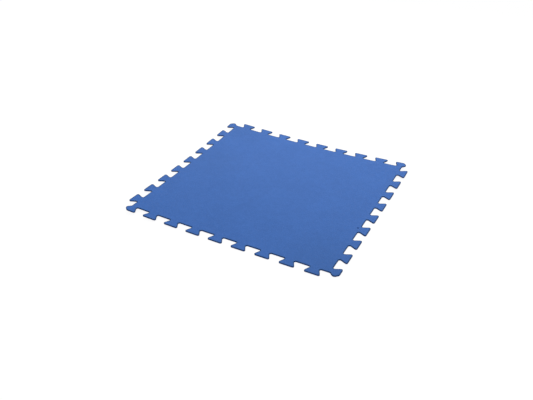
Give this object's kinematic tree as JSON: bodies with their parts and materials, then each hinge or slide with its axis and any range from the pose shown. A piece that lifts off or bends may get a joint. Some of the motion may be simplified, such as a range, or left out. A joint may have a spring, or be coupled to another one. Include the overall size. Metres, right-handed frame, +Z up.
{
  "type": "interlocking foam mat tile",
  "caption": "Square blue foam mat tile, thin and slightly curled at its corners, with dovetail tabs and notches on every side that lock into tiles like it.",
  "frame": {"origin": "the middle of the underside, on the surface that the tile lies on", "axes": "+Z up, out of the work surface; +X and +Y along two neighbouring sides. Turned by 90 degrees about +Z, the tile is the same"},
  "size_m": [0.8108, 0.8107, 0.004],
  "materials": {
    "wear_film": "finely embossed satin, mid blue",
    "foam": "matt cut foam cells, dark blue",
    "grip_film": "matt, fine anti-slip grain, blue"
  },
  "bodies": {
    "root": {"wear_film": "wear_film", "foam_core": "foam", "grip_film": "grip_film"}
  },
  "joints": []
}
